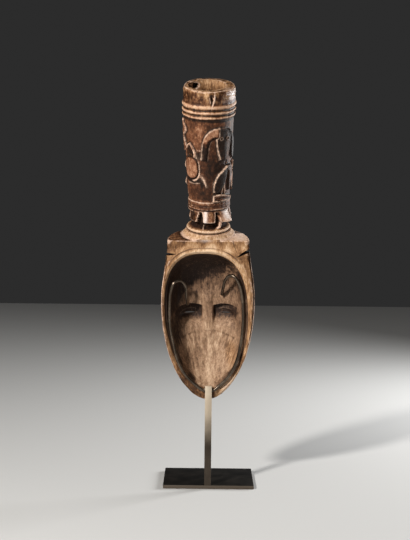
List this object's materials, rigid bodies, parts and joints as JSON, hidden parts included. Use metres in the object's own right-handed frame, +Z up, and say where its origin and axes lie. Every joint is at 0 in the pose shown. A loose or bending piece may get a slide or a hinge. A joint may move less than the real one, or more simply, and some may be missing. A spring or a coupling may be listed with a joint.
{
  "type": "carved wooden face mask on a display stand",
  "caption": "Carved hollow wooden face mask with a tall relief-carved tube on its head, held by two bent rods on a post and a flat plate.",
  "frame": {"origin": "centre of the base plate's underside, on the surface it stands on", "axes": "+Z up; the carved face looks towards +Y and the mask's hollow back, the post and the rods towards -Y; +X is right seen from the hollow side"},
  "size_m": [0.1397, 0.2157, 0.6025],
  "materials": {
    "carved_wood": "dark red-brown patina, rubbed to tan on the edges, satin",
    "plate_metal": "black-brown patina, satin",
    "post_metal": "dark bronze patina, satin",
    "rod_metal": "dark bronze patina, satin"
  },
  "bodies": {
    "root": {"mask": "carved_wood", "base_plate": "plate_metal", "post": "post_metal", "left_arm": "rod_metal", "right_arm": "rod_metal"}
  },
  "joints": []
}
